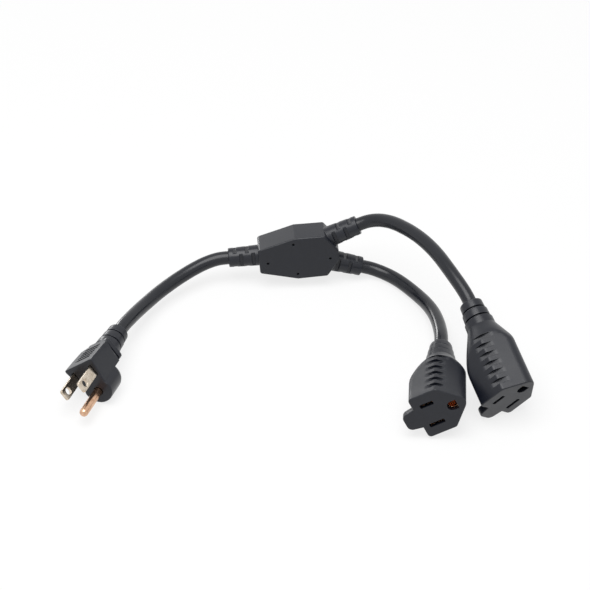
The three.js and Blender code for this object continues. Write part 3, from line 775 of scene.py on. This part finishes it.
@dataclass(frozen=True)
class Plug:
    """The plug: housing, two blades and a ground pin. X toward the pin, Z out along the blades."""

    at: Matrix
    flat_side: float = 6.7
    rear_flat_side: float = 5.0
    half_width: float = 10.4
    lobe_half_width: float = 7.6
    lobe_start: float = 8.7
    lobe_radius: float = 8.4
    lobe_centre: float = 10.9
    lobe_length: float = 16.5
    body_length: float = 19.5
    rear_half_width: float = 9.6
    shoulder: float = 1.8
    neck_half_width: float = 6.1
    neck_half_depth: float = 5.7
    neck_margin: float = 0.5
    flange_start: float = 22.0
    flange_thickness: float = 3.2
    cord_axis: float = 2.2
    length: float = 42.6
    flange_half_depth: float = 6.7
    flange_half_width: float = 7.6
    flange_corner: float = 1.6
    flange_rim: float = 0.5
    relief_radii: Point = (6.9, 5.9)
    mouth_depth: float = 1.6
    lobe_shoulder: float = 3.9
    lobe_core: float = 4.2
    rim: float = 0.7
    blend: float = 0.5
    blade_pitch: float = 12.7
    blade_half_width: float = 3.175
    blade_thickness: float = 1.5
    blade_length: float = 16.5
    blade_chamfer: float = 1.1
    blade_hole: Point = (12.0, 1.95)
    blade_edge: float = 0.22
    ground_offset: float = 11.9
    pin_radius: float = 2.4
    pin_length: float = 21.5
    contact_root: float = -2.6
    face_recess: float = 2.5
    blade_recess: Point = (6.95, 2.1)
    pin_recess: float = 2.7
    grips: tuple[float, ...] = (6.4, 9.3, 12.2, 15.1, 18.0)
    grip_half_width: float = 0.85
    grip_half_length: float = 5.45
    grip_end: float = 5.5
    grip_depth: float = 0.9

    def housing(self, material: bpy.types.Material) -> bpy.types.Object:
        """Models the housing.

        Args:
            material: The moulded plastic.

        Returns:
            The piece.
        """
        axis = self.cord_axis
        lobe, half = self.lobe_radius, self.half_width
        tip = self.lobe_centre + lobe
        face = Outline(
            [
                (-self.flat_side, -half, 1.2),
                (self.lobe_start, -self.lobe_half_width, 0.8),
                (self.lobe_centre, -lobe, 0.0),
                (tip, -lobe, lobe * 0.97),
                (tip, lobe, lobe * 0.97),
                (self.lobe_centre, lobe, 0.0),
                (self.lobe_start, self.lobe_half_width, 0.8),
                (-self.flat_side, half, 1.2),
            ],
            axis,
            8,
        )
        deep, wide, tight = self.flange_half_depth, self.flange_half_width, self.flange_corner
        signs = ((-1, -1), (1, -1), (1, 1), (-1, 1))
        flange = Outline([(axis + deep * x, wide * y, tight) for x, y in signs], axis, 4)
        groove_reach = self.flat_side + axis
        pairs = ((side, s) for side in (-1, 1) for s in (0.62, 0.72))
        edges = [math.pi + side * math.atan2(self.grip_end, groove_reach - s) for side, s in pairs]
        bearings = sorted(set(face.bearings(0.9)) | {round(e, 5) for e in edges})
        face_reach = [face.reach(b) for b in bearings]
        flange_reach = [flange.reach(b) for b in bearings]
        flange_end = self.flange_start + self.flange_thickness
        relief = Collars(flange_end, self.length, *self.relief_radii)
        body_end = self.body_length + self.shoulder

        def reach(i: int, s: float) -> float:
            b = bearings[i]
            if s > flange_end:
                return relief.radius(s)
            if s > self.flange_start:
                depth = min(s - self.flange_start, flange_end - s)
                return flange_reach[i] - rim_inset(depth, self.flange_rim)
            if s > body_end:
                return min(
                    *(flat_bound(b, a, self.neck_half_depth) for a in (0.0, math.pi)),
                    *(flat_bound(b, a, self.neck_half_width) for a in (math.pi / 2, -math.pi / 2)),
                )
            width = mixed(self.half_width, self.rear_half_width, s / self.body_length)
            if s > self.body_length:
                behind = (s - self.body_length) / self.shoulder
                width = mixed(self.rear_half_width, self.neck_half_width + self.neck_margin, behind)
            flat = mixed(self.flat_side, self.rear_flat_side, (s + 2) / (body_end + 2)) + axis
            found = face_reach[i] - rim_inset(s, self.rim)
            round_end = self.lobe_length - self.lobe_shoulder
            if s > round_end:
                share = min((s - round_end) / self.lobe_shoulder, 1.0)
                lobe_now = self.lobe_core + (lobe - self.lobe_core) * math.sqrt(1 - share**2)
                rounded = round_bound(b, self.lobe_centre - axis, lobe_now) if s < self.lobe_length else 0.0
                found = min(found, max(flat_bound(b, 0.0, self.lobe_start - axis), rounded))
            for side in (-1, 1):
                found = soft_least(found, flat_bound(b, side * math.pi / 2, width), self.blend)
            found = soft_least(found, flat_bound(b, math.pi, flat), self.blend)
            in_groove = any(abs(s - g) < self.grip_half_width for g in self.grips)
            if in_groove and abs(math.sin(b)) * found < self.grip_half_length and math.cos(b) < 0:
                found = min(found, flat_bound(b, math.pi, flat - self.grip_depth))
            return found

        stations = [0.0, 0.12, 0.35, self.rim, 4.0, self.length]
        stations += [12.6, 13.4, 14.2, 14.9, 15.5, 16.0, 16.35, self.body_length, 20.4]
        stations += [self.flange_start + d for d in (0.15, 0.5, 2.7, 3.05)] + relief.stations()
        breaks = [g + side * self.grip_half_width for g in self.grips for side in (-1, 1)]
        breaks += [self.lobe_length, body_end, self.flange_start, flange_end] + relief.breaks()[1:]
        shell = Shell()
        first, last = shell.loft(bearings, reach, sorted(set(stations)), breaks, axis, -1)
        deep = self.face_recess
        slots = [square_recess(0, side * self.blade_pitch / 2, *self.blade_recess, deep) for side in (-1, 1)]
        ground = round_recess(self.ground_offset, 0, self.pin_recess, deep, Cut.OPEN)
        shell.cap(first, 0.0, [*slots, ground], -1)
        mouth = round_recess(axis, 0, MOUTH_RADIUS, self.mouth_depth, Cut.OPEN, MOUTH_SIDES)
        shell.cap(last, -self.length, [mouth], 1)
        return shell.finish("plug_moulding", self.at, material, "moulded_black", ["plug_housing"])

    def blade(self, name: str, side: int, material: bpy.types.Material) -> bpy.types.Object:
        """Models a flat blade with its hole and chamfered tip.

        Args:
            name: The CAD node that it stands for.
            side: -1 for the line side, 1 for the neutral side.
            material: The plated strip.

        Returns:
            The piece.
        """
        half, tip, rear = self.blade_half_width, self.blade_length, self.contact_root
        thickness, chamfer = self.blade_thickness, self.blade_chamfer
        corners = [(-half, rear, 0.0), (half, rear, 0.0), (half, tip, chamfer), (-half, tip, chamfer)]
        sheet = tuple(tuple(p) for p in Outline(corners, arc_steps=4).points)
        from_face, radius = self.blade_hole
        hole = round_recess(0, from_face, radius, 1, Cut.OPEN, 32).points
        shell = Shell()
        bm = shell.bm
        loops = []
        for points in (sheet, hole):
            verts = [bm.verts.new((x, z, -thickness / 2)) for x, z in points]
            loops += [bm.edges.new(pair) for pair in zip(verts, verts[1:] + verts[:1])]
        filled = bmesh.ops.triangle_fill(bm, use_beauty=True, use_dissolve=False, edges=loops)["geom"]
        faces = [g for g in filled if isinstance(g, bmesh.types.BMFace)]
        grown = bmesh.ops.extrude_face_region(bm, geom=faces, use_keep_orig=True)["geom"]
        moved = [g for g in grown if isinstance(g, bmesh.types.BMVert)]
        bmesh.ops.translate(bm, verts=moved, vec=(0, 0, thickness))
        bmesh.ops.recalc_face_normals(bm, faces=bm.faces)
        sharp = [e for e in bm.edges if e.calc_face_angle(0.0) > math.radians(60)]
        rims = [e for e in sharp if abs(e.verts[0].co.z - e.verts[1].co.z) < 0.1]
        rounding = {"affect": "EDGES", "segments": 3, "profile": 0.5, "material": -1}
        bmesh.ops.bevel(bm, geom=rims, offset=self.blade_edge, **rounding)
        stand = Matrix.Translation((0, side * self.blade_pitch / 2, 0)) @ Matrix.Rotation(math.pi / 2, 4, "X")
        return shell.finish(f"{name}_strip", self.at @ stand, material, "nickel_brass", [name])

    def pin(self, material: bpy.types.Material) -> bpy.types.Object:
        """Models the round ground pin with its domed tip.

        Args:
            material: The drawn metal.

        Returns:
            The piece.
        """
        radius, tip, rear = self.pin_radius, self.pin_length, self.contact_root
        angles = [math.pi / 2 * i / 8 for i in range(9)]
        dome = [(radius * math.cos(a), tip - radius + radius * math.sin(a)) for a in angles]
        profile = [(0, rear), (radius, rear), (radius, 4.0), *dome]
        shell = Shell()
        bm = shell.bm
        verts = [bm.verts.new((r if r > 1e-6 else 0.0, 0, z)) for r, z in profile]
        edges = [bm.edges.new(pair) for pair in zip(verts, verts[1:])]
        turn = {"cent": (0, 0, 0), "axis": (0, 0, 1), "angle": math.tau}
        bmesh.ops.spin(bm, geom=verts + edges, steps=48, use_merge=True, **turn)
        stand = Matrix.Translation((self.ground_offset, 0, 0))
        return shell.finish("ground_pin_rod", self.at @ stand, material, "brass", ["ground_pin"])


@dataclass(frozen=True)
class Receptacle:
    """A receptacle housing. X toward the ground opening, Z from the face to the cord."""

    side: Side
    at: Matrix
    flat_side: float = 8.0
    half_width: float = 13.1
    ridge: float = 8.3
    nose_point: float = 21.5
    body_length: float = 44.0
    dome_start: float = 10.0
    dome_radius: float = 18.8
    dome_onset: float = 1.8
    dome_rounding: float = 1.15
    corner: float = 2.0
    ridge_rounding: float = 2.4
    nose_rounding: float = 5.0
    cord_axis: float = 4.8
    relief_length: float = 16.0
    relief_radius: float = 8.2
    relief_end_radius: float = 6.5
    mouth_depth: float = 1.6
    tab_reach: float = 7.6
    tab_thickness: float = 4.5
    tab_root: float = 6.0
    tab_tip: float = 4.6
    tab_rounding: float = 3.0
    tab_fillet: float = 0.4
    rim: float = 0.7
    blend: float = 0.8
    grip_count: int = 6
    grip_pitch: float = 5.6
    grip_first: float = 5.5
    grip_width: float = 2.8
    grip_depth: float = 2.0
    slot_offset: float = 6.35
    slot_lengths: Point = (7.6, 8.8)
    slot_width: float = 2.3
    ground_offset: float = 11.9
    ground_opening: float = 5.6
    face_wall: float = 2.6

    def dome(self, along: float) -> float:
        """Gives the radius of the rounded rear about the cord's axis.

        Args:
            along: Distance from the face.

        Returns:
            The radius.
        """
        share = min(max((along - self.dome_start) / (self.body_length - self.dome_start), 0.0), 1.0)
        fullness = (1 - share**self.dome_onset) ** self.dome_rounding
        return self.relief_radius + (self.dome_radius - self.relief_radius) * fullness

    def outline(self, with_tab: bool) -> Outline:
        """Gives the face's outline.

        Args:
            with_tab: Whether the tab on the flat side is part of it.

        Returns:
            The outline, read from the cord's axis.
        """
        flat, half, tip = -self.flat_side, self.half_width, -self.flat_side - self.tab_reach
        corners = [
            (flat, -half, self.corner),
            (self.ridge, -half, self.ridge_rounding),
            (self.nose_point, 0.0, self.nose_rounding),
            (self.ridge, half, self.ridge_rounding),
            (flat, half, self.corner),
        ]
        if with_tab:
            corners += [(flat, self.tab_root, self.tab_fillet), (tip, self.tab_tip, self.tab_rounding)]
            corners += [(tip, -self.tab_tip, self.tab_rounding), (flat, -self.tab_root, self.tab_fillet)]
        return Outline(corners, self.cord_axis)

    def build(self, material: bpy.types.Material) -> bpy.types.Object:
        """Models the housing.

        Args:
            material: The moulded plastic.

        Returns:
            The piece.
        """
        axis = self.cord_axis
        plain, tabbed = self.outline(False), self.outline(True)
        bearings = sorted(set(plain.bearings(0.8)) | set(tabbed.bearings(0.8)))
        plain_reach = [plain.reach(b) for b in bearings]
        tabbed_reach = [tabbed.reach(b) for b in bearings]
        end = self.body_length + self.relief_length
        relief = Collars(self.body_length, end, self.relief_radius, self.relief_end_radius)
        slope = math.atan2(self.nose_point - self.ridge, self.half_width)
        facing = (math.pi / 2 - slope) / 2 + slope
        corner = Vector((self.ridge - axis, self.half_width))
        ridge_distance = corner.dot(Vector((math.cos(facing), math.sin(facing))))
        grips = [self.grip_first + i * self.grip_pitch for i in range(self.grip_count)]
        floors = [ridge_distance * min(1.0, self.dome(g) / corner.length) - self.grip_depth for g in grips]

        def reach(i: int, s: float) -> float:
            b = bearings[i]
            if s > self.body_length:
                return relief.radius(s)
            found = plain_reach[i] - rim_inset(s, self.rim)
            if s < self.tab_thickness:
                found = max(found, tabbed_reach[i] - rim_inset(min(s, self.tab_thickness - s), self.rim))
            if s > self.dome_start:
                found = soft_least(found, self.dome(s), self.blend)
            for grip, floor in zip(grips, floors):
                if abs(s - grip) < self.grip_width / 2:
                    found = min(found, *(flat_bound(b, side * facing, floor) for side in (-1, 1)))
            return found

        stations = [0.0, 0.1, 0.3, self.rim, 3.8, 4.2, 4.4]
        stations += [self.dome_start + (self.body_length - self.dome_start) * i / 24 for i in range(24)]
        stations += relief.stations()
        breaks = [self.tab_thickness, self.body_length, *relief.breaks()[1:]]
        breaks += [g + side * self.grip_width / 2 for g in grips for side in (-1, 1)]
        shell = Shell()
        first, last = shell.loft(bearings, reach, sorted(set(stations)), breaks, axis)
        shell.cap(first, 0.0, self.openings(), 1)
        mouth = round_recess(axis, 0, MOUTH_RADIUS, self.mouth_depth, Cut.OPEN, MOUTH_SIDES)
        shell.cap(last, end, [mouth], -1)
        name = f"{self.side.value}_receptacle"
        return shell.finish(f"{name}_moulding", self.at, material, "moulded_black", [f"{name}_housing"])

    def openings(self) -> list[Recess]:
        """Gives the two slots and the ground opening.

        Returns:
            The openings in the face.
        """
        half, middle = self.ground_opening / 2, self.ground_offset
        arc = [math.pi / 2 + math.pi * i / 14 for i in range(15)]
        arch = [(middle + half, -half), (middle + half, half)]
        arch += [(middle + half * math.cos(a), half * math.sin(a)) for a in arc]
        slots = [
            square_recess(0, side * self.slot_offset, length, self.slot_width, self.face_wall)
            for side, length in zip((-1, 1), self.slot_lengths)
        ]
        return [*slots, Recess(tuple(arch), self.face_wall)]


@dataclass(frozen=True)
class Junction:
    """The junction block with one relief for the input and two for the outputs."""

    at: Matrix
    half_thickness: float = 8.7
    edge: float = 0.9
    end: float = 22.5
    output_angle: float = math.radians(19.5)
    output_axis: Point = (20.5, 8.5)
    half_outline: tuple[Point, ...] = ((-22.5, 7.3), (-1.5, 13.1), (15.3, 12.8), (22.5, 3.2))
    corner: float = 1.4
    input_relief: float = 17.0
    output_relief: float = 15.0
    relief_radii: Point = (6.0, 5.3)
    relief_rim: float = 0.5
    relief_root: float = 4.0
    notch_floor: float = 4.2
    notch_half_width: float = 1.0
    notch_first: float = 3.7
    notch_pitch: float = 3.45
    notch_count: int = 4
    mouth_depth: float = 1.4
    pin_radius: float = 0.75
    pin_depth: float = 1.6
    pins: tuple[Point, ...] = ((-17.6, -1.2), (-2.6, 9.4), (17.4, -1.6), (-1.4, -9.6))

    def build(self, material: bpy.types.Material) -> bpy.types.Object:
        """Models the block and its reliefs.

        Args:
            material: The moulded plastic.

        Returns:
            The piece.
        """
        half = self.half_outline
        corners = [(x, -y, self.corner) for x, y in half] + [(x, y, self.corner) for x, y in reversed(half)]
        outline = Outline(corners, 0.0, 5)
        bearings = outline.bearings(1.2)
        reaches = [outline.reach(b) for b in bearings]
        t = self.half_thickness

        def reach(i: int, s: float) -> float:
            return reaches[i] - rim_inset(t - abs(s), self.edge)

        rim = [t - self.edge * d for d in (0.0, 0.1, 0.3, 0.6, 1.0)]
        shell = Shell()
        first, last = shell.loft(bearings, reach, [*(-r for r in rim), *reversed(rim)], [])
        dots = [round_recess(x, y, self.pin_radius, self.pin_depth, Cut.FLOOR, 20) for x, y in self.pins]
        shell.cap(first, -t, dots, 1)
        shell.cap(last, t, dots, -1)
        x, y = self.output_axis
        along = Matrix(((0, 0, 1, 0), (1, 0, 0, 0), (0, 1, 0, 0), (0, 0, 0, 1)))
        for length, angle, root in (
            (self.input_relief, math.pi, (-self.end, 0.0)),
            (self.output_relief, self.output_angle, (x, y)),
            (self.output_relief, -self.output_angle, (x, -y)),
        ):
            spot = Matrix.Translation((*root, 0)) @ Matrix.Rotation(angle, 4, "Z") @ along
            with shell.placed(spot):
                self.relief(shell, length)
        return shell.finish("junction_moulding", self.at, material, "moulded_black", ["junction_housing"])

    def relief(self, shell: Shell, length: float) -> None:
        """Adds a flexible relief, notched in turn from two sides and from two faces.

        Args:
            shell: Where it goes.
            length: How far it stands out of the block.
        """
        bearings = [math.tau * i / 56 for i in range(56)]
        notches = [length - self.notch_first - i * self.notch_pitch for i in range(self.notch_count)]
        root, half, rim = self.relief_root, self.notch_half_width, self.relief_rim

        def reach(i: int, s: float) -> float:
            radius = mixed(*self.relief_radii, (s + root / 2) / (length + root)) - rim_inset(length - s, rim)
            for index, notch in enumerate(notches):
                if abs(s - notch) < half:
                    first = math.pi / 2 * (index % 2)
                    sides = (first, first + math.pi)
                    radius = min(radius, *(flat_bound(bearings[i], a, self.notch_floor) for a in sides))
            return radius

        stations = [-root, length - rim, length - 0.25, length - 0.08, length]
        breaks = [n + side * half for n in notches for side in (-1, 1)]
        _, last = shell.loft(bearings, reach, stations, breaks)
        mouth = round_recess(0, 0, MOUTH_RADIUS, self.mouth_depth, Cut.OPEN, MOUTH_SIDES)
        shell.cap(last, length, [mouth], -1)


# Studio


@dataclass(frozen=True)
class Softbox:
    """A large soft lamp aimed at the object."""

    name: str
    at: tuple[float, float, float]
    size: float
    power: float

    def build(self, aim: Vector) -> None:
        """Adds the lamp.

        Args:
            aim: What it points at.
        """
        light = bpy.data.lights.new(self.name, "AREA")
        light.shape = "DISK"
        light.size = self.size
        light.energy = self.power
        lamp = bpy.data.objects.new(self.name, light)
        lamp.location = self.at
        lamp.rotation_euler = (aim - Vector(self.at)).to_track_quat("-Z", "Y").to_euler()
        bpy.context.scene.collection.objects.link(lamp)


@dataclass(frozen=True)
class Studio:
    """Camera, lamps, world and floor."""

    aim: Vector
    eye: Vector
    lens_mm: float = 162.6
    world_light: float = 0.35
    floor_glow: float = 0.78

    def camera(self) -> None:
        """Places the camera at the photograph's viewing angle."""
        data = bpy.data.cameras.new("camera")
        data.lens = self.lens_mm
        data.sensor_width = 36.0
        data.clip_start = 0.05
        camera = bpy.data.objects.new("camera", data)
        camera.location = self.eye
        camera.rotation_euler = (self.aim - self.eye).to_track_quat("-Z", "Y").to_euler()
        bpy.context.scene.collection.objects.link(camera)
        bpy.context.scene.camera = camera

    def lighting(self) -> None:
        """Adds the lamps, the world and the floor."""
        for box in (
            Softbox("overhead_softbox", (-0.15, -0.3, 1.5), 1.5, 24.0),
            Softbox("rear_softbox", (-0.75, 1.45, 0.12), 0.35, 3.0),
        ):
            box.build(self.aim)
        world = bpy.data.worlds.new("studio")
        bpy.context.scene.world = world
        world.use_nodes = True
        tree = world.node_tree
        background = tree.nodes["Background"]
        path = add_node(tree, "ShaderNodeLightPath")
        seen = seen_share(tree, path)
        strength = add_node(tree, "ShaderNodeMapRange", Value=seen, To_Min=self.world_light, To_Max=1.0)
        background.inputs["Color"].default_value = (1.0, 1.0, 1.0, 1.0)
        tree.links.new(strength.outputs[0], background.inputs["Strength"])
        self.floor()
        bpy.context.scene.view_settings.view_transform = "Standard"

    def floor(self) -> None:
        """Adds a pale floor that keeps a faint shadow of the object."""
        bm = bmesh.new()
        bmesh.ops.create_grid(bm, x_segments=8, y_segments=8, size=6.0)
        mesh = bpy.data.meshes.new("floor")
        bm.to_mesh(mesh)
        bm.free()
        floor = bpy.data.objects.new("floor", mesh)
        bpy.context.scene.collection.objects.link(floor)
        material, tree, shader = new_material("pale_floor")
        shader.inputs["Base Color"].default_value = linear("#f4f4f4")
        shader.inputs["Roughness"].default_value = 0.9
        shader.inputs["Specular IOR Level"].default_value = 0.1
        path = add_node(tree, "ShaderNodeLightPath")
        product = {"operation": "MULTIPLY"}
        share = add_node(tree, "ShaderNodeMath", product, i0=seen_share(tree, path), i1=self.floor_glow)
        glow = add_node(tree, "ShaderNodeEmission", Strength=1.0)
        shaders = {"i1": shader.outputs[0], "i2": glow.outputs[0]}
        both = add_node(tree, "ShaderNodeMixShader", i0=share.outputs[0], **shaders)
        tree.links.new(both.outputs[0], tree.nodes["Material Output"].inputs["Surface"])
        mesh.materials.append(material)


def main() -> None:
    """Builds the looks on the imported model."""
    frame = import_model()
    aim = Vector((-0.8, 48.1, 0.0)) * MM
    studio = Studio(aim=aim, eye=aim + Vector((0.0, -1185.1, 919.5)) * MM)
    studio.camera()
    materials = {slot: finish.material() for slot, finish in FINISHES.items()}
    for cord in CORDS:
        cord.build(materials["cord_jacket"])
    for row in frame["record"]["subparts"]:
        data = frame["nodes"][row["node"]].data
        data.materials.clear()
        data.materials.append(materials[row["material_slot"]])

    black = materials["moulded_black"]
    plug = Plug(place(-112.6, -43.3, 17.424824, (-22, 51, 87)))
    plug.housing(black)
    plug.blade("line_blade", -1, materials["nickel_brass"])
    plug.blade("neutral_blade", 1, materials["nickel_brass"])
    plug.pin(materials["brass"])
    Receptacle(Side.NEAR, place(70.8, -74.4, 16.331932, (0.3, -28, -97))).build(black)
    Receptacle(Side.FAR, place(110.4, -60.6, 12.968613, (-2, -46.5, -60))).build(black)
    Junction(place(1.1, 64.9, 18.2, (3.5, -4, 83))).build(black)
    studio.lighting()


if __name__ == "__main__":
    main()
